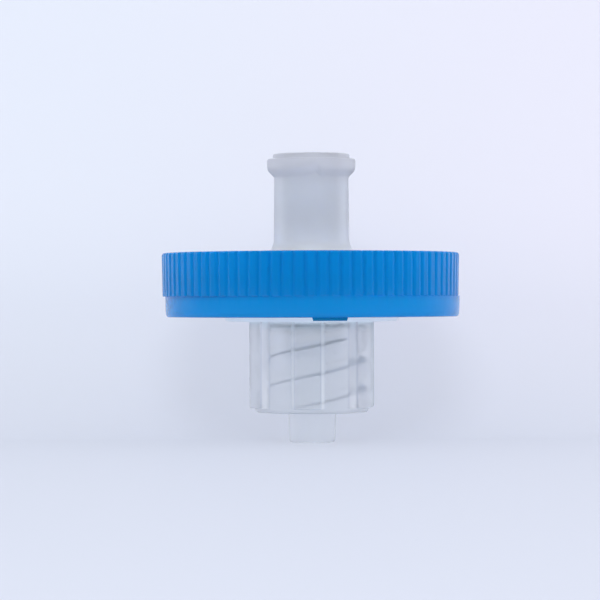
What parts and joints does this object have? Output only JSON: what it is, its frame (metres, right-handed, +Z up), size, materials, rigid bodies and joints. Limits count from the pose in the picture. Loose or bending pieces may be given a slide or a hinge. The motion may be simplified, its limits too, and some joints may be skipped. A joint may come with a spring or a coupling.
{
  "type": "syringe filter",
  "caption": "Disc syringe filter with a female luer lock inlet, a knurled ring that clamps both half shells and a male luer lock outlet.",
  "frame": {"origin": "centre of the male tip's end face, on the flow axis, which is the middle of the box's underside", "axes": "+Z up the flow axis from the male outlet tip towards the female inlet; +X to the right and -Y towards the viewer, where the gate mark under the ring is"},
  "size_m": [0.0262, 0.026, 0.0253],
  "materials": {
    "frosted_plastic": "frosted, milky and lightly translucent moulding with a soft sheen",
    "membrane": "matt white microporous film",
    "clear_plastic": "clear, glossy moulding with a faint blue cast",
    "blue_plastic": "translucent sky blue moulding with a soft gloss"
  },
  "bodies": {
    "root": {"inlet_housing": "frosted_plastic", "membrane": "membrane", "outlet_housing": "clear_plastic", "seal_ring": "blue_plastic"}
  },
  "joints": []
}
